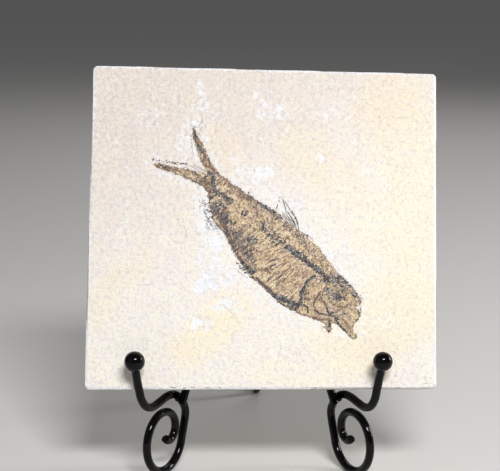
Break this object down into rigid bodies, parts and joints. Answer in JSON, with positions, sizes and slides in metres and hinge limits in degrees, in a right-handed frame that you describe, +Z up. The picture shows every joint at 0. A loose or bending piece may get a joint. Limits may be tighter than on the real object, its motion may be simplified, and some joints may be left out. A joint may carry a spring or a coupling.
{
  "type": "fossil fish slab on an easel",
  "caption": "Split slab of pale limestone with a small herring-like fossil fish on its face, leaning back on a black wire easel with ball-tipped arms and scroll feet.",
  "frame": {"origin": "on the floor, at the middle of the whole object's footprint box", "axes": "+Z up, the slab's face towards -Y and leaning back, +X to the right seen from the front"},
  "size_m": [0.142, 0.1369, 0.1642],
  "materials": {
    "limestone": "split cream limestone, matte and finely pebbled",
    "fossil_bone": "tan and brown fossil bone with dark blue-grey film, matte",
    "black_wire": "gloss black enamel on steel wire"
  },
  "bodies": {
    "root": {"limestone_slab": "limestone", "fossil_fish": "fossil_bone", "left_scroll_wire": "black_wire", "right_scroll_wire": "black_wire", "left_ball": "black_wire", "right_ball": "black_wire", "left_upright": "black_wire", "right_upright": "black_wire", "spreader_bar": "black_wire", "rear_leg": "black_wire"}
  },
  "joints": []
}
